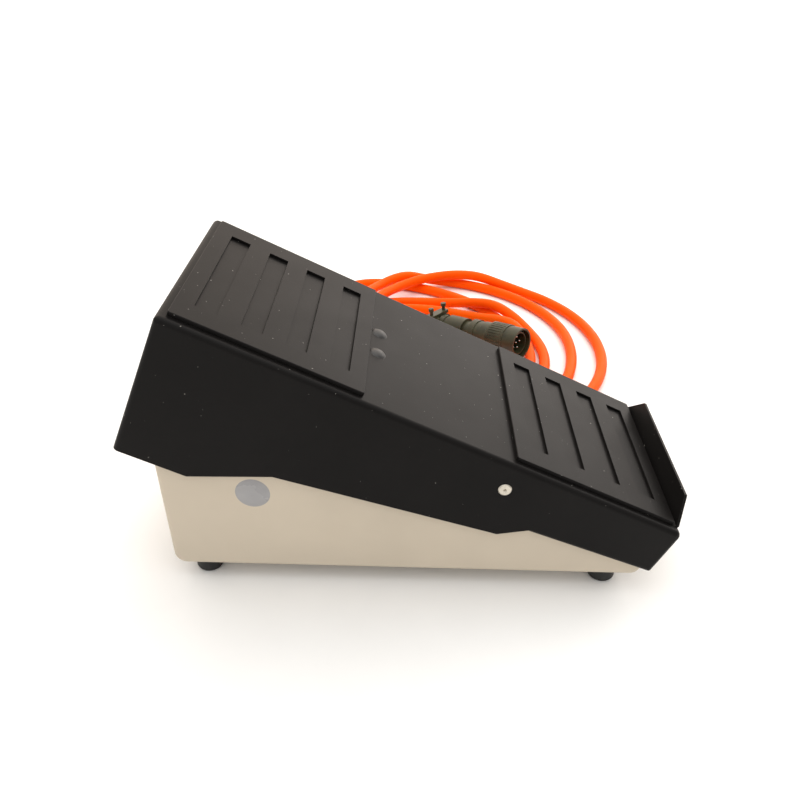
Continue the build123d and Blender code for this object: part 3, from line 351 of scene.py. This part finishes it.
def painted(material, colour, look):
    """Blotches of two shades and, where asked, worn edges and specks of dust."""
    dark = [c * (1 - look["vary"]) for c in colour]
    light = [min(1.0, c * (1 + look["vary"])) for c in colour]
    blotches = spread(material, noise(material, look["blotch"]), 0.0, 1.0)
    paint = mixed(material, blotches, dark, light)
    if "worn" in look:
        patchy = spread(material, noise(material, PATCH_SCALE), 0.0, 1.0, PATCH_SPAN)
        rubbed = times(material, edge_mask(material, look["edge"]), patchy)
        paint = mixed(material, rubbed, paint, look["worn"])
    if "dust" in look:
        specks = spread(material, noise(material, DUST_SCALE, detail=0.0), 0.0, 1.0, DUST_SPAN)
        paint = mixed(material, specks, paint, look["dust"])
    return paint


def grained(material, look):
    """The normal of the surface's fine relief."""
    grain = noise(material, look["grain"], detail=2.0, squeeze=look["squeeze"])
    bump = add_node(material, "ShaderNodeBump")
    bump.inputs["Strength"].default_value = look["relief"]
    bump.inputs["Distance"].default_value = look["depth"]
    material.node_tree.links.new(grain, bump.inputs["Height"])
    return bump.outputs["Normal"]


def surface(name, colour, rough, **asked):
    """A finished surface: blotches, grain, uneven gloss and, where asked, wear and dust."""
    look = {**PLAIN_LOOK, **asked}
    material = bpy.data.materials.new(name)
    material.use_nodes = True
    shader = material.node_tree.nodes["Principled BSDF"]
    shader.inputs["Metallic"].default_value = look["metallic"]
    shader.inputs["Specular IOR Level"].default_value = look["specular"]
    shader.inputs["IOR"].default_value = look["ior"]
    smears = noise(material, look["smears"], detail=5.0)
    shine = spread(material, smears, rough - look["uneven"], rough + look["uneven"])
    links = material.node_tree.links
    links.new(painted(material, colour, look), shader.inputs["Base Color"])
    links.new(shine, shader.inputs["Roughness"])
    links.new(grained(material, look), shader.inputs["Normal"])
    return material


def black_powder_coat():
    return surface(
        "black_powder_coat", (0.0062, 0.0056, 0.0054), 0.42, vary=0.12, ior=1.19, uneven=0.02,
        grain=1500.0, depth=0.00008, relief=0.30, worn=(0.032, 0.030, 0.028), dust=(0.25, 0.24, 0.22),
    )


def cream_powder_coat():
    return surface(
        "cream_powder_coat", (0.58, 0.505, 0.40), 0.50, vary=0.035, specular=0.4,
        grain=1300.0, depth=0.00009, relief=0.35, worn=(0.52, 0.46, 0.36), edge=0.0008,
    )


def tread_pad():
    return surface(
        "tread_pad", (0.0066, 0.0060, 0.0058), 0.42, vary=0.15, ior=1.2, uneven=0.02, blotch=60.0,
        grain=2200.0, depth=0.00006, worn=(0.03, 0.029, 0.027), edge=0.0004, dust=(0.30, 0.29, 0.27),
    )


def zinc_plate():
    return surface(
        "zinc_plate", (0.60, 0.56, 0.48), 0.38, vary=0.10, metallic=1.0, blotch=160.0,
        grain=1800.0, depth=0.00005, squeeze=(1, 1, 6),
    )


def black_oxide():
    return surface(
        "black_oxide", (0.016, 0.015, 0.015), 0.42, vary=0.15, grain=2500.0, depth=0.00005,
        worn=(0.06, 0.055, 0.05), edge=0.0003,
    )


def nylon_white():
    return surface("nylon_white", (0.72, 0.70, 0.62), 0.42, vary=0.04, grain=700.0)


def plug_nylon():
    return surface(
        "plug_nylon", (0.33, 0.325, 0.33), 0.28, vary=0.06, grain=500.0, depth=0.00006,
        blotch=90.0, uneven=0.02,
    )


def black_rubber():
    return surface(
        "black_rubber", (0.010, 0.010, 0.010), 0.62, vary=0.2, grain=1200.0, depth=0.0001,
        worn=(0.05, 0.048, 0.045), edge=0.0008,
    )


def spring_steel():
    return surface(
        "spring_steel", (0.42, 0.41, 0.39), 0.30, vary=0.12, metallic=1.0, blotch=200.0,
        grain=1500.0, depth=0.00004,
    )


def pot_case():
    return surface(
        "pot_case", (0.52, 0.50, 0.46), 0.40, metallic=1.0, blotch=120.0, grain=1600.0,
        squeeze=(1, 8, 1), depth=0.00005,
    )


def phenolic():
    return surface("phenolic", (0.16, 0.065, 0.025), 0.5, vary=0.2, blotch=300.0)


def switch_case():
    return surface("switch_case", (0.018, 0.018, 0.020), 0.48, vary=0.15, grain=1100.0)


def button_red():
    return surface("button_red", (0.42, 0.02, 0.012), 0.25, vary=0.08, grain=600.0, depth=0.00003)


def strip_nylon():
    return surface("strip_nylon", (0.62, 0.58, 0.48), 0.45, vary=0.05, grain=900.0)


def brass():
    return surface(
        "brass", (0.70, 0.47, 0.17), 0.32, vary=0.12, metallic=1.0, blotch=250.0,
        grain=2000.0, depth=0.00004,
    )


def wire_jacket():
    return surface("wire_jacket", (0.33, 0.03, 0.02), 0.36, vary=0.12, blotch=150.0)


def orange_jacket():
    return surface(
        "orange_jacket", (0.95, 0.100, 0.0), 0.42, vary=0.05, blotch=28.0, specular=0.06,
        grain=700.0, depth=0.00008, relief=0.25, smears=60.0,
    )


def black_nylon():
    return surface("black_nylon", (0.014, 0.014, 0.015), 0.45, vary=0.15, grain=1000.0)


def olive_shell():
    return surface(
        "olive_shell", (0.040, 0.039, 0.018), 0.38, vary=0.25, blotch=160.0, specular=0.35,
        grain=2200.0, depth=0.00005, worn=(0.17, 0.165, 0.11), edge=0.0004,
    )


def insert_rubber():
    return surface("insert_rubber", (0.009, 0.009, 0.009), 0.55, vary=0.2, grain=1500.0)


def contact_silver():
    return surface(
        "contact_silver", (0.85, 0.84, 0.80), 0.18, vary=0.05, metallic=1.0, depth=0.00002,
    )


def white_paint():
    return surface("white_paint", (0.55, 0.54, 0.48), 0.45, vary=0.12, blotch=500.0)


FINISHES = [
    black_powder_coat, cream_powder_coat, tread_pad, zinc_plate, black_oxide, nylon_white,
    plug_nylon, black_rubber, spring_steel, pot_case, phenolic, switch_case, button_red,
    strip_nylon, brass, wire_jacket, orange_jacket, black_nylon, olive_shell, insert_rubber,
    contact_silver, white_paint,
]
MATERIALS = {make.__name__: make() for make in FINISHES}


def dress_cad_nodes():
    """Every carried-over node takes the full material of its slot."""
    for part in RECORD["subparts"]:
        node = frame["nodes"][part["node"]]
        for index in range(len(node.material_slots)):
            node.material_slots[index].material = MATERIALS[part["material_slot"]]


# ---- stage, in metres ----
FLOOR_HALF = 12.0
SOFTBOXES = [  # name, place, what it looks at, size, watts
    ("overhead", (0.1, 0.25, 1.3), (0, 0.1, 0.05), (1.4, 1.4), 6.0),
    ("back", (0.9, 1.2, 0.7), (0, 0.1, 0.05), (1.4, 1.0), 6.0),
    ("front_fill", (-0.6, -1.2, 0.6), (0, 0, 0.05), (1.2, 0.8), 1.5),
]
SURROUND_GLOW = 0.22
OVERHEAD_GLOW = 1.15
OVERHEAD_SPAN = (0.0, 1.0)  # from level to straight up
BACK_GLOW = 1.35
BACK_SPAN = (0.2, 0.9)  # from a little towards the back to nearly straight back
SURROUND_TINT = (1.0, 0.98, 0.95)
BACK_TINT = (1.0, 0.87, 0.76)


def pale_floor():
    return surface("pale_floor", (0.93, 0.93, 0.925), 0.7, vary=0.01, specular=0.1)


def make_floor():
    data = bpy.data.meshes.new("studio_floor")
    corners = [(x * FLOOR_HALF, y * FLOOR_HALF, 0) for x, y in ((-1, -1), (1, -1), (1, 1), (-1, 1))]
    data.from_pydata(corners, [], [(0, 1, 2, 3)])
    floor = bpy.data.objects.new("studio_floor", data)
    bpy.context.scene.collection.objects.link(floor)
    data.materials.append(pale_floor())


def aimed(location, target):
    """Rotation of a lamp at location that looks at target."""
    return (Vector(target) - Vector(location)).to_track_quat("-Z", "Y").to_euler()


def make_softbox(name, location, target, size, power):
    lamp = bpy.data.lights.new(name, "AREA")
    lamp.shape = "RECTANGLE"
    lamp.size, lamp.size_y = size
    lamp.energy = power
    softbox = bpy.data.objects.new(name, lamp)
    softbox.location = location
    softbox.rotation_euler = aimed(location, target)
    bpy.context.scene.collection.objects.link(softbox)


def make_world():
    """Studio surround: dim at the camera's side, brighter overhead, warm and bright behind."""
    world = bpy.data.worlds.new("studio")
    world.use_nodes = True
    background = world.node_tree.nodes["Background"]
    where = add_node(world, "ShaderNodeTexCoord")
    apart = add_node(world, "ShaderNodeSeparateXYZ")
    links = world.node_tree.links
    links.new(where.outputs["Generated"], apart.inputs["Vector"])
    overhead = spread(world, apart.outputs["Z"], 0.0, OVERHEAD_GLOW, OVERHEAD_SPAN)
    behind = spread(world, apart.outputs["Y"], 0.0, BACK_GLOW, BACK_SPAN)
    strength = summed(world, summed(world, overhead, SURROUND_GLOW), behind)
    tint = mixed(world, behind, SURROUND_TINT, BACK_TINT)
    links.new(strength, background.inputs["Strength"])
    links.new(tint, background.inputs["Color"])
    bpy.context.scene.world = world


# ---- camera ----
CAMERA_PLACE = Vector((-0.0020, -0.3708, 0.3221))
CAMERA_DOWN = math.radians(36.83)
CAMERA_TURN = math.radians(1.72)
CAMERA_ROLL = math.radians(0.25)
LENS = 33.95  # millimetres
SENSOR = 36.0  # millimetres
SHIFT = (0.0143, 0.0738)  # of the picture's width
CLIP_START = 0.01


def make_camera():
    data = bpy.data.cameras.new("camera")
    data.lens = LENS
    data.sensor_width = SENSOR
    data.shift_x, data.shift_y = SHIFT
    data.clip_start = CLIP_START
    camera = bpy.data.objects.new("camera", data)
    look = Euler((math.pi / 2 - CAMERA_DOWN, 0, CAMERA_TURN)).to_matrix()
    roll = Matrix.Rotation(CAMERA_ROLL, 3, "Z")
    camera.matrix_world = Matrix.Translation(CAMERA_PLACE) @ (look @ roll).to_4x4()
    bpy.context.scene.collection.objects.link(camera)
    bpy.context.scene.camera = camera


def set_plain_colours():
    """Colours come out as they are, with no film curve."""
    bpy.context.scene.view_settings.view_transform = "Standard"


dress_cad_nodes()
make_cable()
make_spring("near_spring", "near_return_spring")
make_spring("far_spring", "far_return_spring")
make_floor()
make_world()
for softbox in SOFTBOXES:
    make_softbox(*softbox)
make_camera()
set_plain_colours()
